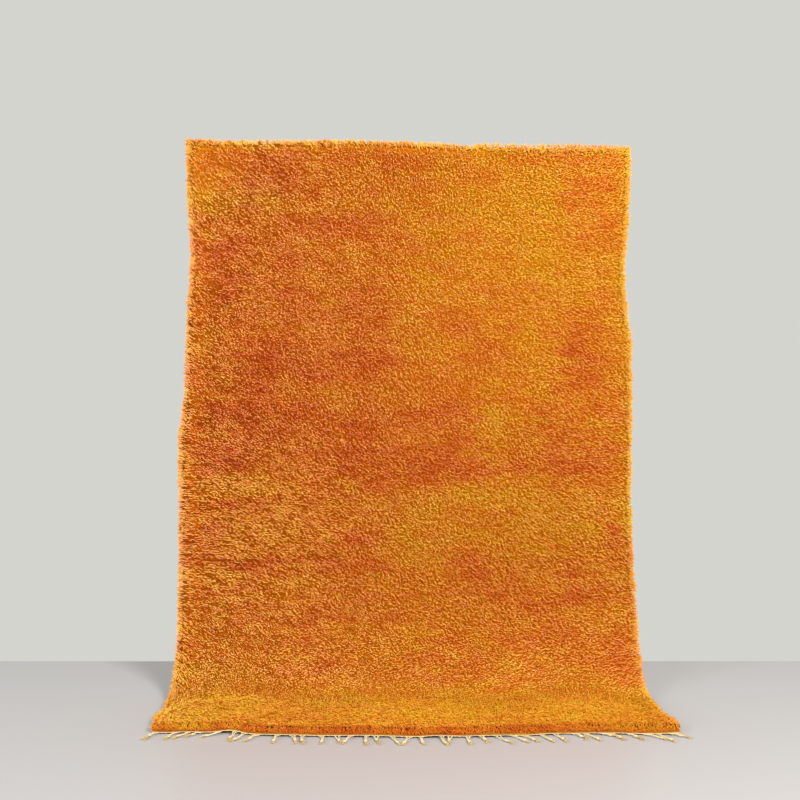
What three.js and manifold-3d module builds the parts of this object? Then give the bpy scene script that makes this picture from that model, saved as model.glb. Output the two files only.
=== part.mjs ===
// A hand-knotted shag rug of orange wool, hung from its top edge, with its foot bent forward onto the floor
// and a knotted fringe in front of it.
// Millimetres, +Z up. The pile faces -Y, +X is to the right of it, and the origin is the middle of the edge
// that the rug hangs from, on the plane where the knots are tied.

import * as THREE from "three";
import { mergeVertices } from "three/addons/utils/BufferGeometryUtils.js";
import Module from "manifold-3d";

const wasm = await Module();
wasm.setup();

// The cloth
const WEAVE = 5; // thickness of the woven ground, behind the knots
const PILE = 25; // height of the pile in front of them
const BAND_DEPTH = 18; // the flat-woven band that ends the cloth, in front of the pile
const EDGE_ROUND = 45; // the pile grows to its full height over this distance from an edge
const EDGE_HEIGHT = 0.55; // share of the pile's height that is left at an edge

// How it hangs
const HANG_HEIGHT = 2040; // from the floor to the edge that it hangs from
const HANG_LEAN = 60; // how far forward the straight part has come where the bend starts
const BEND_HEIGHT = 490; // where the bend starts, above the floor
const BEND_REACH = 360; // where the bend meets the floor, in front of the hanging edge
const BEND_PULL_UP = 320; // how far the bend's first handle runs on down the hang
const BEND_PULL_BACK = 170; // how far its second handle runs back along the floor
const FOOT_REACH = 700; // the front edge of the foot
const FLOOR = -HANG_HEIGHT;
const FLOOR_CLOTH = FLOOR + WEAVE; // the plane of the knots where the cloth lies on the floor

// Reach of the two side edges from the middle line, at a distance down the cloth. It is woven by hand and
// narrows a little where the weaver drew the wefts tight.
const SIDES = [
  { down: 0, left: 845, right: 836 },
  { down: 210, left: 838, right: 831 },
  { down: 370, left: 826, right: 819 },
  { down: 480, left: 824, right: 810 },
  { down: 590, left: 834, right: 816 },
  { down: 750, left: 838, right: 833 },
  { down: 950, left: 842, right: 833 },
  { down: 1130, left: 864, right: 832 },
  { down: 1300, left: 859, right: 827 },
  { down: 1580, left: 856, right: 832 },
  { down: 1800, left: 855, right: 840 },
  { down: 2100, left: 845, right: 834 },
  { down: 2300, left: 828, right: 836 },
  { down: 2430, left: 833, right: 852 },
  { down: 2600, left: 824, right: 864 },
];

// How far the top edge stands above the origin.
const TOP_EDGE = [
  { across: -860, rise: 14 },
  { across: -760, rise: 8 },
  { across: -430, rise: 8 },
  { across: -200, rise: 10 },
  { across: 0, rise: 3 },
  { across: 120, rise: -3 },
  { across: 215, rise: -12 },
  { across: 290, rise: -5 },
  { across: 500, rise: -8 },
  { across: 760, rise: -9 },
  { across: 860, rise: -16 },
];

// How far forward the front edge lies.
const FRONT_EDGE = [
  { across: -860, reach: 670 },
  { across: -590, reach: 671 },
  { across: -430, reach: 700 },
  { across: -200, reach: 706 },
  { across: 60, reach: 716 },
  { across: 280, reach: 706 },
  { across: 410, reach: 692 },
  { across: 480, reach: 679 },
  { across: 880, reach: 683 },
];

// The pile's lumps: each point stands up to LUMP above or below its even height, and long low swells cross
// the cloth where whole knot rows lie thicker.
const LUMP = 5.5;
const SWELL = 2.5;
const SWELL_LENGTH = 290; // from crest to crest, down the cloth
const SWELL_WANDER = 95; // how far a crest wanders up and down as it crosses the cloth
const SWELL_ACROSS = 900; // the length across the cloth of one such wander

// Rows of points down the cloth. The foot's length is what the front edge leaves for it.
const STRETCHES = [
  { name: "top edge", rows: 1, length: 24 },
  { name: "hang", rows: 20, length: 1500 },
  { name: "bend", rows: 15, length: 660 },
  { name: "foot", rows: 5 },
  { name: "front of the pile", rows: 1, length: 12 },
  { name: "flat-woven band", rows: 1, length: BAND_DEPTH },
];
const FOOT_INDEX = STRETCHES.findIndex(({ name }) => name === "foot");
const COLUMNS = 26;
const COLUMN_CROWDING = 0.4; // 0 spaces the columns evenly, 1 crowds them to the side edges as a cosine does
const TOP_EDGE_FADE = 300; // distance down the cloth over which the top edge's unevenness fades from the rows

// Locks of pile that stand out at the rim
const RIMS = [
  { rim: "left", locks: 46 },
  { rim: "right", locks: 46 },
  { rim: "top", locks: 36 },
  { rim: "front", locks: 34 },
];
const LOCK_LENGTH = 32;
const LOCK_WIDTH = 30;
const LOCK_TIP = 0.3; // share of its width that is left at its tip
const LOCK_DROOP = 9;
const LOCK_ROOT_DEPTH = 18; // how far inside the edge it is rooted
const LOCK_ROOT_HEIGHT = 12; // and how far above the knots
const LOCK_SIDES = 3;

// The fringe
const GAP = 0.3; // between the fringe's strip and the cloth's edge
const STRIP_DEPTH = 5;
const STRIP_HEIGHT = 5;
const BUNCHES = 36;
const CORD_WIDTH = 7;
const CORD_HEIGHT = 6;
const CORD_LENGTH = 46;
const CORD_STEPS = 3;
const KNOT_LENGTH = 14;
const KNOT = [
  { part: 0.25, width: 14, height: 11 },
  { part: 0.75, width: 14, height: 11 },
  { part: 1, width: 8, height: 6 },
];
const TAIL_LENGTH = 17;
const TAIL_WIDTH = 6;
const TAIL_HEIGHT = 3;
const TAIL_SPREAD = 26; // degrees to each side of the bunch
const TURN_SPREAD = 22; // degrees by which a bunch may turn from its neighbours' way
const CURL = 26; // degrees by which a cord may curl along its length

// Which way the bunches point, in degrees from straight forward, positive to the right.
const FRINGE_LIE = [
  { across: -860, turn: -48 },
  { across: -560, turn: -38 },
  { across: -380, turn: 2 },
  { across: 0, turn: -6 },
  { across: 330, turn: 16 },
  { across: 480, turn: 42 },
  { across: 880, turn: 44 },
];

const { clamp, degToRad, lerp, smoothstep } = THREE.MathUtils;

// A column of a table at x, in a straight line between the rows on its two sides.
function follow(table, key, column, x) {
  const after = table.findIndex((row) => row[key] >= x);
  if (after <= 0) return table.at(after)[column];
  const [a, b] = [table[after - 1], table[after]];
  return lerp(a[column], b[column], (x - a[key]) / (b[key] - a[key]));
}

// An even scatter from 0 to 1 that is the same on every run.
function scatter(index) {
  const value = Math.sin(index * 12.9898 + 4.1414) * 43758.5453;
  return value - Math.floor(value);
}

// The cloth's run from the hanging edge to the front, seen from the side: x is forward and y is up.
function clothPath() {
  const start = new THREE.Vector2(0, 0);
  const bendStart = new THREE.Vector2(HANG_LEAN, FLOOR_CLOTH + BEND_HEIGHT);
  const bendEnd = new THREE.Vector2(BEND_REACH, FLOOR_CLOTH);
  const front = new THREE.Vector2(FOOT_REACH, FLOOR_CLOTH);
  const hangWay = bendStart.clone().sub(start).normalize();
  const firstHandle = bendStart.clone().addScaledVector(hangWay, BEND_PULL_UP);
  const secondHandle = bendEnd.clone().sub(new THREE.Vector2(BEND_PULL_BACK, 0));
  const path = new THREE.CurvePath();
  path.add(new THREE.LineCurve(start, bendStart));
  path.add(new THREE.CubicBezierCurve(bendStart, firstHandle, secondHandle, bendEnd));
  path.add(new THREE.LineCurve(bendEnd, front));
  return path;
}

const PATH = clothPath();
const PATH_LENGTH = PATH.getLength();
const FOOT_START = PATH_LENGTH - (FOOT_REACH - BEND_REACH); // distance down the cloth

// The point on the cloth that lies across from the middle, down from the hanging edge, and out from the
// knots' plane towards the pile. Past its two ends the path runs straight on.
function onCloth(across, down, out) {
  const inside = clamp(down, 0, PATH_LENGTH);
  const way = PATH.getTangent(inside / PATH_LENGTH);
  const point = PATH.getPoint(inside / PATH_LENGTH).addScaledVector(way, down - inside);
  const forward = point.x - out * way.y;
  const up = point.y + out * way.x;
  return new THREE.Vector3(across, -forward, Math.max(up, FLOOR));
}

// The distance down the cloth at which it ends, at a place across it.
function clothEnd(across) {
  return FOOT_START + follow(FRONT_EDGE, "across", "reach", across) - BEND_REACH;
}

function topRise(across) {
  return follow(TOP_EDGE, "across", "rise", across);
}

function sideReach(down, side) {
  return follow(SIDES, "down", side, clamp(down, 0, SIDES.at(-1).down));
}

// Height of the pile's surface above the knots. Points on the flat-woven band carry none.
function pileHeight(across, down) {
  const fromSide = Math.min(across + sideReach(down, "left"), sideReach(down, "right") - across);
  const fromTop = down + topRise(across);
  const fromEdge = Math.min(fromSide, fromTop);
  const rounding = lerp(EDGE_HEIGHT, 1, smoothstep(fromEdge, 0, EDGE_ROUND));
  const crest = down + SWELL_WANDER * Math.sin((2 * Math.PI * across) / SWELL_ACROSS);
  const swell = SWELL * Math.sin((2 * Math.PI * crest) / SWELL_LENGTH);
  const lump = LUMP * 2 * (scatter(across + 7 * down) - 0.5);
  return PILE * rounding + swell + lump;
}

// The rows of points: the stretch that each is in, its share of that stretch, and whether it carries pile.
// The pile has ended where its front has.
function clothRows() {
  const rows = [{ stretch: STRETCHES[0], share: 0, carriesPile: true }];
  for (const stretch of STRETCHES)
    for (let i = 1; i <= stretch.rows; i++) {
      const carriesPile = STRETCHES.indexOf(stretch) <= FOOT_INDEX;
      rows.push({ stretch, share: i / stretch.rows, carriesPile });
    }
  return rows;
}

// The stretches' own lengths, added up from one to another.
function stretchLengths(from, to) {
  return STRETCHES.slice(from, to).reduce((sum, { length }) => sum + length, 0);
}

// How far down the cloth a row is, at a place across it.
function rowDown({ stretch, share }, across) {
  const index = STRETCHES.indexOf(stretch);
  if (index < FOOT_INDEX) {
    const down = stretchLengths(0, index) + share * stretch.length;
    return down - topRise(across) * Math.max(0, 1 - down / TOP_EDGE_FADE);
  }
  const footEnd = clothEnd(across) - stretchLengths(FOOT_INDEX + 1);
  if (index === FOOT_INDEX) return lerp(stretchLengths(0, FOOT_INDEX), footEnd, share);
  return footEnd + stretchLengths(FOOT_INDEX + 1, index) + share * stretch.length;
}

function columnShare(column) {
  const even = column / COLUMNS;
  return lerp(even, (1 - Math.cos(Math.PI * even)) / 2, COLUMN_CROWDING);
}

// A closed skin over two grids of points that share their outline order: front faces out, back faces in.
function closedSkin(front, back) {
  const rows = front.length;
  const columns = front[0].length;
  const points = [...front.flat(), ...back.flat()];
  const at = (side, row, column) => (side * rows + row) * columns + column;
  const index = [];
  const quad = (a, b, c, d) => index.push(a, b, c, a, c, d);
  for (let r = 0; r < rows - 1; r++)
    for (let c = 0; c < columns - 1; c++) {
      quad(at(0, r, c), at(0, r + 1, c), at(0, r + 1, c + 1), at(0, r, c + 1));
      quad(at(1, r, c), at(1, r, c + 1), at(1, r + 1, c + 1), at(1, r + 1, c));
    }
  for (let r = 0; r < rows - 1; r++) {
    quad(at(0, r, 0), at(1, r, 0), at(1, r + 1, 0), at(0, r + 1, 0));
    quad(at(0, r + 1, columns - 1), at(1, r + 1, columns - 1), at(1, r, columns - 1), at(0, r, columns - 1));
  }
  for (let c = 0; c < columns - 1; c++) {
    quad(at(0, 0, c + 1), at(1, 0, c + 1), at(1, 0, c), at(0, 0, c));
    quad(at(0, rows - 1, c), at(1, rows - 1, c), at(1, rows - 1, c + 1), at(0, rows - 1, c + 1));
  }
  const geometry = new THREE.BufferGeometry().setFromPoints(points);
  geometry.setIndex(index);
  return geometry;
}

// A geometry as a solid that can be joined to others, and back again.
function toSolid(geometry) {
  const bare = geometry.clone();
  bare.deleteAttribute("normal");
  bare.deleteAttribute("uv");
  const merged = mergeVertices(bare, 1e-3);
  return new wasm.Manifold(
    new wasm.Mesh({
      numProp: 3,
      vertProperties: merged.attributes.position.array,
      triVerts: new Uint32Array(merged.index.array),
    }),
  );
}

function toGeometry(solid) {
  const mesh = solid.getMesh();
  const geometry = new THREE.BufferGeometry();
  geometry.setAttribute("position", new THREE.BufferAttribute(mesh.vertProperties, 3));
  geometry.setIndex(new THREE.BufferAttribute(mesh.triVerts, 1));
  geometry.computeVertexNormals();
  return geometry;
}

// The corners of the cloth's front edge, one at each column of points.
function frontCorners() {
  const end = rowDown({ stretch: STRETCHES.at(-1), share: 1 }, 0);
  return Array.from({ length: COLUMNS + 1 }, (_, column) => {
    const across = lerp(-sideReach(end, "left"), sideReach(end, "right"), columnShare(column));
    return { across, reach: follow(FRONT_EDGE, "across", "reach", across) };
  });
}

// The slab of pile and weave, lumpy in front and smooth behind.
function slab() {
  const front = [];
  const back = [];
  for (const row of clothRows()) {
    const frontRow = [];
    const backRow = [];
    for (let column = 0; column <= COLUMNS; column++) {
      const share = columnShare(column);
      const nominal = rowDown(row, 0);
      const across = lerp(-sideReach(nominal, "left"), sideReach(nominal, "right"), share);
      const down = rowDown(row, across);
      frontRow.push(onCloth(across, down, row.carriesPile ? pileHeight(across, down) : 0));
      backRow.push(onCloth(across, down, -WEAVE));
    }
    front.push(frontRow);
    back.push(backRow);
  }
  return toSolid(closedSkin(front, back));
}

// One lock: a blunt tuft from its root along a direction, drooping towards its tip.
function lock(root, way, length, width) {
  const tuft = new THREE.CylinderGeometry((width / 2) * LOCK_TIP, width / 2, length, LOCK_SIDES);
  tuft.translate(0, length / 2, 0);
  const turn = new THREE.Quaternion().setFromUnitVectors(new THREE.Vector3(0, 1, 0), way);
  const position = tuft.attributes.position;
  const point = new THREE.Vector3();
  for (let i = 0; i < position.count; i++) {
    point.fromBufferAttribute(position, i);
    const droop = (LOCK_DROOP * point.y) / length;
    point.applyQuaternion(turn).add(root);
    position.setXYZ(i, point.x, point.y, Math.max(point.z - droop, FLOOR));
  }
  return toSolid(tuft);
}

// Where a rim's lock is rooted and which way it grows: out over the edge, off the pile and down the cloth.
function rimPlace(rim, share) {
  const lastPile = BAND_DEPTH + LOCK_ROOT_DEPTH;
  if (rim === "left" || rim === "right") {
    const down = lerp(0, clothEnd(0) - lastPile, share);
    const side = rim === "left" ? -1 : 1;
    const across = side * (sideReach(down, rim) - LOCK_ROOT_DEPTH);
    return { across, down, outward: [side, 0] };
  }
  const across = lerp(-sideReach(0, "left"), sideReach(0, "right"), share);
  if (rim === "top") return { across, down: LOCK_ROOT_DEPTH - topRise(across), outward: [0, -1] };
  return { across, down: clothEnd(across) - lastPile, outward: [0, 1] };
}

function rimLocks() {
  const locks = [];
  let index = 0;
  for (const { rim, locks: count } of RIMS)
    for (let i = 0; i < count; i++) {
      index += 1;
      const share = (i + 0.5 + 0.6 * (scatter(index) - 0.5)) / count;
      const { across, down, outward } = rimPlace(rim, share);
      const root = onCloth(across, down, LOCK_ROOT_HEIGHT);
      const off = onCloth(across, down, LOCK_ROOT_HEIGHT + 1).sub(root);
      const along = onCloth(across, down + 1, LOCK_ROOT_HEIGHT).sub(root).normalize();
      const sideways = 0.9 * (scatter(index + 0.3) - 0.5);
      const way = new THREE.Vector3(outward[0], 0, 0)
        .addScaledVector(along, outward[1])
        .addScaledVector(outward[0] ? along : new THREE.Vector3(1, 0, 0), sideways)
        .addScaledVector(off, rim === "front" ? 0.05 : 0.15 + 0.3 * scatter(index + 0.6))
        .normalize();
      const size = 0.8 + 0.4 * scatter(index + 0.8);
      const reach = rim === "front" ? 0.8 : 1;
      locks.push(lock(root, way, LOCK_LENGTH * size * reach, LOCK_WIDTH * size));
    }
  return locks;
}

function rug() {
  return toGeometry(wasm.Manifold.union([slab(), ...rimLocks()]));
}

// A strand that lies level on the floor: a flat-bottomed section along points, with a width and height at
// each of them.
function strand(points, widths, heights) {
  const edges = [[], []];
  const tops = [[], []];
  points.forEach((point, i) => {
    const before = points[Math.max(i - 1, 0)];
    const next = points[Math.min(i + 1, points.length - 1)];
    const along = next.clone().sub(before).normalize();
    const across = new THREE.Vector2(along.y, -along.x);
    [-1, 1].forEach((side, k) => {
      const low = point.clone().addScaledVector(across, (side * widths[i]) / 2);
      const high = point.clone().addScaledVector(across, (side * widths[i]) / 4);
      edges[k].push(new THREE.Vector3(low.x, -low.y, FLOOR));
      tops[k].push(new THREE.Vector3(high.x, -high.y, FLOOR + heights[i]));
    });
  });
  return toSolid(closedSkin([tops[1], tops[0]], [edges[1], edges[0]]));
}

// The bunch's own points are x across and y forward on the floor.
function forwardBy(point, turn, distance) {
  const angle = degToRad(turn);
  return point.clone().add(new THREE.Vector2(Math.sin(angle), Math.cos(angle)).multiplyScalar(distance));
}

// One bunch: a twisted cord that comes out of the strip, its knot, and its frayed end in two tails.
function bunch(index, corners) {
  const share = (index + 0.5 + 0.5 * (scatter(index + 300) - 0.5)) / BUNCHES;
  const across = lerp(corners[0].across, corners.at(-1).across, share);
  const edge = follow(corners, "across", "reach", across);
  const turn = follow(FRINGE_LIE, "across", "turn", across) + TURN_SPREAD * (scatter(index + 400) - 0.5) * 2;
  const curl = CURL * 2 * (scatter(index + 500) - 0.5);
  const length = CORD_LENGTH * (0.8 + 0.35 * scatter(index + 600));
  const points = [new THREE.Vector2(across, edge + GAP + STRIP_DEPTH * 0.9)];
  for (let i = 0; i < CORD_STEPS; i++)
    points.push(forwardBy(points.at(-1), turn + curl * (i / (CORD_STEPS - 1) - 0.5), length / CORD_STEPS));
  const last = turn + curl / 2;
  const tie = points.at(-1);
  const widths = points.map(() => CORD_WIDTH);
  const heights = points.map(() => CORD_HEIGHT);
  for (const { part, width, height } of KNOT) {
    points.push(forwardBy(tie, last, part * KNOT_LENGTH));
    widths.push(width);
    heights.push(height);
  }
  const knotEnd = points.at(-1);
  const [first, second] = [-1, 1].map((side) => forwardBy(knotEnd, last + side * TAIL_SPREAD, TAIL_LENGTH));
  points.push(first);
  widths.push(TAIL_WIDTH / 2);
  heights.push(TAIL_HEIGHT / 2);
  const tail = strand([points.at(-3), second], [TAIL_WIDTH, TAIL_WIDTH / 2], [TAIL_HEIGHT, TAIL_HEIGHT / 2]);
  return [strand(points, widths, heights), tail];
}

// The strip that the bunches are rooted in follows the cloth's front edge.
function strip(corners) {
  const rows = [0, STRIP_DEPTH].map((depth) =>
    corners.map(({ across, reach }) => new THREE.Vector3(across, -(reach + GAP + depth), FLOOR)),
  );
  const lifted = rows.map((row) => row.map((point) => point.clone().setZ(FLOOR + STRIP_HEIGHT)));
  return toSolid(closedSkin(lifted, rows));
}

function fringe() {
  const corners = frontCorners();
  const bunches = Array.from({ length: BUNCHES }, (_, index) => bunch(index, corners));
  return toGeometry(wasm.Manifold.union([strip(corners), ...bunches.flat()]));
}

function piece(name, geometry, colour) {
  const material = new THREE.MeshStandardMaterial({ color: colour, roughness: 0.95, metalness: 0 });
  const mesh = new THREE.Mesh(geometry, material);
  mesh.name = name;
  return mesh;
}

const group = new THREE.Group();
group.add(piece("rug", rug(), "#ce7424"));
group.add(piece("fringe", fringe(), "#e9dcc0"));

export default group;
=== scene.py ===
"""The looks of a hand-knotted shag rug of orange wool, hung from its top edge, with its foot on the floor.

Metres, in the solids' frame: +Z up, the pile faces -Y, and the origin is the middle of the hanging edge.
A place on the cloth is given by how far it is across, to the right from the middle, and how far down the
cloth from the hanging edge.
"""

import math

import bpy
import numpy as np
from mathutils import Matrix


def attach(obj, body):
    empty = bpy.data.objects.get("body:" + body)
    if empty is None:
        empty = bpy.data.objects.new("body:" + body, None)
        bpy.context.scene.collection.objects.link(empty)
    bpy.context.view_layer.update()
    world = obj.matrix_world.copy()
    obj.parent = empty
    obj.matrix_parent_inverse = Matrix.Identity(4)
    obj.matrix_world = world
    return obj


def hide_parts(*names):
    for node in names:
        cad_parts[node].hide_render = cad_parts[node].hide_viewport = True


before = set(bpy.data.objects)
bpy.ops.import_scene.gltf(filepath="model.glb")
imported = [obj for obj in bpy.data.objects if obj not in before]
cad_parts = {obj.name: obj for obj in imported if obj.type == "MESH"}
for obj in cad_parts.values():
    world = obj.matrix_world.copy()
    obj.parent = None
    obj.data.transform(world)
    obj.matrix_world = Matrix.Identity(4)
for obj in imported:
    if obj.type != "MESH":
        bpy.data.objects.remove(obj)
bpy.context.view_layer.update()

# The cloth and how it hangs, as its solid is made
WEAVE = 0.005  # thickness of the woven ground
BAND_DEPTH = 0.018  # the flat-woven band that ends the cloth
HANG_HEIGHT = 2.04  # from the floor to the edge that it hangs from
HANG_LEAN = 0.06  # how far forward the straight part has come where the bend starts
BEND_HEIGHT = 0.49  # where the bend starts, above the floor
BEND_REACH = 0.36  # where the bend meets the floor, in front of the hanging edge
BEND_PULL_UP = 0.32  # how far the bend's first handle runs on down the hang
BEND_PULL_BACK = 0.17  # how far its second handle runs back along the floor
FOOT_REACH = 0.7  # the front edge of the foot
TOP_EDGE_FADE = 0.3  # distance over which the top edge's unevenness fades from the rows
FLOOR = -HANG_HEIGHT

SIDES = {
    "down": (0, 0.21, 0.37, 0.48, 0.59, 0.75, 0.95, 1.13,
             1.3, 1.58, 1.8, 2.1, 2.3, 2.43, 2.6),
    "left": (0.845, 0.838, 0.826, 0.824, 0.834, 0.838, 0.842, 0.864,
             0.859, 0.856, 0.855, 0.845, 0.828, 0.833, 0.824),
    "right": (0.836, 0.831, 0.819, 0.81, 0.816, 0.833, 0.833, 0.832,
              0.827, 0.832, 0.84, 0.834, 0.836, 0.852, 0.864),
}
TOP_EDGE = {
    "across": (-0.86, -0.76, -0.43, -0.2, 0, 0.12, 0.215, 0.29, 0.5, 0.76, 0.86),
    "rise": (0.014, 0.008, 0.008, 0.01, 0.003, -0.003, -0.012, -0.005, -0.008, -0.009, -0.016),
}
FRONT_EDGE = {
    "across": (-0.86, -0.59, -0.43, -0.2, 0.06, 0.28, 0.41, 0.48, 0.88),
    "reach": (0.67, 0.671, 0.7, 0.706, 0.716, 0.706, 0.692, 0.679, 0.683),
}
FRONT_LIFT = 0.003  # how far the front edge stands off the floor
FRONT_LIFT_WAVE = 0.002
FRONT_LIFT_FADE = 0.07  # distance from the front edge over which the lift fades
BUCKLES = (
    # across, half width, how much higher the front edge stands there
    (-0.575, 0.035, 0.007),
    (0.1, 0.05, 0.003),
)

# The knots and the tufts' places
KNOT_ROW = 0.018  # from one row of knots to the next
KNOT_PITCH = 0.0113  # from one knot to the next along a row
KNOT_LINES = 2  # the lines that a knot's tufts stand in
KNOT_COLUMNS = 3  # the tufts in each of these lines
TUFTS_PER_KNOT = KNOT_LINES * KNOT_COLUMNS
SHIFT_ACROSS = 0.45  # how far a tuft strays, as a share of the distance to its neighbours
SHIFT_DOWN = 0.5
ROWS_KEPT = 0.4  # how much less it strays from its row where the rows show
RIM_INSET = {"left": 0.0015, "right": 0.001}  # from the cloth's edge to the outermost tufts
EDGE_MARGIN = 0.003  # no tuft is rooted nearer to the pile's edge than this
GROUND_TOP = 0.004  # where the woven ground starts, down the cloth
PILE_TOP = 0.005  # where the pile starts
RIM_TUFTS = 1300  # for each metre of the rim
RIM_DEPTH = 0.014
RIM_HALF = 0.84  # half the width of the top and front rims that these tufts stand along
FACE_DEPTH = 0.007  # how deep from the front the pile's tufts hang over its front face
FACE_TUFTS = 2200  # for each metre of it
PILE_PIECES = 5
GROUND_GRID = (141, 41)  # rows, columns
BED_GRID = (95, 59)
BED_HEIGHT = 0.011
BED_HIGHER = 0.005  # how much more on the foot

# A tuft's shape
TUFT_POINTS = 5  # its root, a ring of three and its tip
MAP_MARGIN = 0.12  # of its square on the map
MAP_RING = 0.6  # where the ring is on it, from root to tip
TUFT_WIDTH = 0.0029
TUFT_HEIGHT = 0.024
TUFT_REACH = 0.0135  # how far its tip leans from its root
WIDTH_SPREAD = (0.7, 1.3)
HEIGHT_SPREAD = (0.75, 1.12)
REACH_SPREAD = (-0.45, 0.35)
TUFT_ROOT = 0.004  # how high its root is, above the knots' plane
TIP_HEIGHT = 0.86  # of its height
KNEE_HEIGHT = 0.66  # where it is widest
LYING_DROP = 0.1  # how much lower the tip is, and how much higher the knee, where the pile lies flat
LYING_REACH = 0.25
KNEE_REACH = 0.45  # of its reach
BOW = 0.0015  # how far its knee strays from its line
SPIN = 0.35  # radians; small, so the ring's painted-shadow corner stays on the same side of every tuft
RIM_PULL = {"left": 0.01, "right": 0.012, "top": 0.012, "front": 0.03}  # how far in tufts are drawn outwards
RIM_SHORTER = (0.25, 0.65)  # how much shorter the rim's tufts are
RIM_REACH = 0.3
RIM_WIDTH = 0.45
SPLAY = 0.45  # how widely the rim's tufts fan out
ROW_REACH = 0.3  # how much longer they are where the rows show
SOFTNESS = 0.3  # how far a tuft is shaded as the cloth under it is, as soft wool scatters light

# The tufts that hang over the front face
FACE_RISE = 0.8  # how high the highest tip is, as a share of a tuft's height
FACE_KNEE = 0.9
FACE_LEAST = 0.3  # the least that a tuft hangs to one side, as a share of the most
FACE_SIDE = 0.9  # the most, as a share of a tuft's reach
FACE_AHEAD = (0.45, 1.15)

# Which way the pile lies: the slope of its strokes in degrees, down to the right, and how alike they are
LIE = np.array([
    # across, down, slope, order
    (-0.8, 0.1, 44, 0.78),
    (-0.8, 0.5, 34, 0.78),
    (-0.8, 0.9, 28, 0.82),
    (-0.8, 1.3, 12, 0.88),
    (-0.8, 1.6, 6, 0.88),
    (-0.8, 1.95, 30, 0.85),
    (-0.4, 0.1, 44, 0.75),
    (-0.4, 0.9, 42, 0.7),
    (-0.4, 1.4, 18, 0.78),
    (-0.4, 1.95, 26, 0.8),
    (0, 0.1, 74, 0.65),
    (0, 0.9, 48, 0.62),
    (0, 1.4, 30, 0.6),
    (0, 1.95, 32, 0.65),
    (0.4, 0.1, 50, 0.45),
    (0.4, 0.9, 46, 0.58),
    (0.4, 1.95, 28, 0.62),
    (0.8, 0.1, 0, 0.5),
    (0.8, 0.6, 42, 0.6),
    (0.8, 1.2, 18, 0.65),
    (0.8, 1.95, 18, 0.6),
    (-0.6, 2.3, 190, 0.7),
    (0, 2.35, 182, 0.65),
    (0.6, 2.3, 186, 0.65),
])
LEAST_TURN = 0.16  # radians that a tuft turns from its neighbours where all lie alike
MOST_TURN = 1.9  # radians more where none do
LOCK_LENGTH = 0.035  # how far tufts that cling together reach along the way they lie
LOCK_WIDTH = 0.006
LOCK_STEPS = 7

# Where the dye took lighter or darker: soft patches on the cloth, from -1, burnt orange, to 1, gold
PATCHES = (
    # across, down, half width, half length, tone
    (-0.69, 0.07, 0.15, 0.07, -0.45),
    (-0.44, 0.1, 0.13, 0.07, -0.35),
    (-0.69, 0.21, 0.2, 0.035, 0.6),
    (-0.29, 0.3, 0.15, 0.05, -0.55),
    (-0.5, 0.8, 0.35, 0.35, -0.25),
    (-0.1, 1.12, 0.3, 0.2, -0.25),
    (-0.65, 0.5, 0.13, 0.14, -0.55),
    (-0.21, 0.64, 0.11, 0.09, -0.9),
    (-0.14, 0.82, 0.1, 0.045, -0.9),
    (-0.52, 0.81, 0.16, 0.08, -0.4),
    (-0.62, 1.0, 0.2, 0.12, -0.65),
    (-0.72, 1.2, 0.1, 0.06, -0.7),
    (-0.42, 1.11, 0.15, 0.12, -0.5),
    (-0.16, 1.14, 0.08, 0.1, -0.6),
    (0.07, 1.22, 0.13, 0.09, -0.9),
    (0.07, 1.04, 0.15, 0.07, -0.5),
    (0.23, 1.11, 0.07, 0.11, -0.7),
    (0.4, 0.22, 0.35, 0.2, 0.65),
    (0.48, 0.3, 0.09, 0.1, 0.5),
    (0.58, 0.48, 0.2, 0.1, 0.75),
    (0.09, 0.48, 0.1, 0.12, 0.5),
    (0.67, 0.17, 0.07, 0.06, -0.9),
    (0.53, 0.85, 0.06, 0.2, 0.7),
    (0.07, 0.73, 0.12, 0.12, 0.35),
    (0.36, 1.04, 0.11, 0.1, 0.6),
    (0.31, 0.77, 0.12, 0.1, -0.35),
    (0.66, 0.81, 0.1, 0.14, -0.7),
    (0.58, 1.15, 0.06, 0.1, -0.8),
    (0.7, 1.25, 0.09, 0.06, -0.6),
    (0.4, 1.22, 0.1, 0.04, -0.5),
    (0.27, 1.34, 0.18, 0.06, 0.6),
    (0.5, 1.45, 0.25, 0.12, 0.45),
    (0.73, 1.47, 0.035, 0.03, -1.2),
    (0.04, 1.47, 0.08, 0.17, 0.4),
    (-0.65, 1.31, 0.2, 0.025, 0.5),
    (-0.62, 1.355, 0.25, 0.018, -0.6),
    (-0.57, 1.47, 0.25, 0.05, 0.3),
    (-0.54, 1.585, 0.25, 0.03, -0.8),
    (-0.26, 1.51, 0.06, 0.035, -1.0),
    (-0.19, 1.62, 0.05, 0.1, -0.6),
    (0.22, 1.62, 0.08, 0.06, -0.7),
    (0.4, 1.74, 0.1, 0.045, -0.7),
    (0.65, 1.73, 0.12, 0.04, -0.8),
    (-0.34, 1.795, 0.25, 0.018, -0.6),
    (0.5, 1.87, 0.3, 0.03, -0.45),
    (0.07, 1.9, 0.1, 0.08, 0.35),
    (-0.31, 1.99, 0.13, 0.04, -0.5),
    (-0.68, 1.99, 0.22, 0.1, 0.5),
    (0.7, 1.98, 0.18, 0.055, -0.3),
    (0.0, 2.28, 1.6, 0.2, 0.46),
    (-0.42, 2.3, 0.09, 0.006, -1.3),
    (-0.67, 2.29, 0.05, 0.005, -1.0),
)
PATCH_STRENGTH = 0.9
RIM_GOLD = {
    # how much lighter the dye is at an edge, and how far in
    "left": (0.08, 0.02),
    "right": (0.5, 0.045),
    "top": (0.25, 0.03),
}
RIGHT_GOLD_END = 1.5  # how far down the right edge's gold goes
# The front edge: darker dye together with painted shade of the pile's shaded front, in a ragged band,
# narrower where the dye is gold
FRONT_DYE_AND_SHADE = {
    "across": (-0.86, -0.6, -0.5, 0.3, 0.5, 0.7, 0.86),
    "tone": (-0.8, -0.8, -1.25, -1.2, -1.1, -0.7, -0.7),
    "gold": (0.9, 0.8, 0.1, 0, 0.3, 0.8, 0.9),
}
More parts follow.
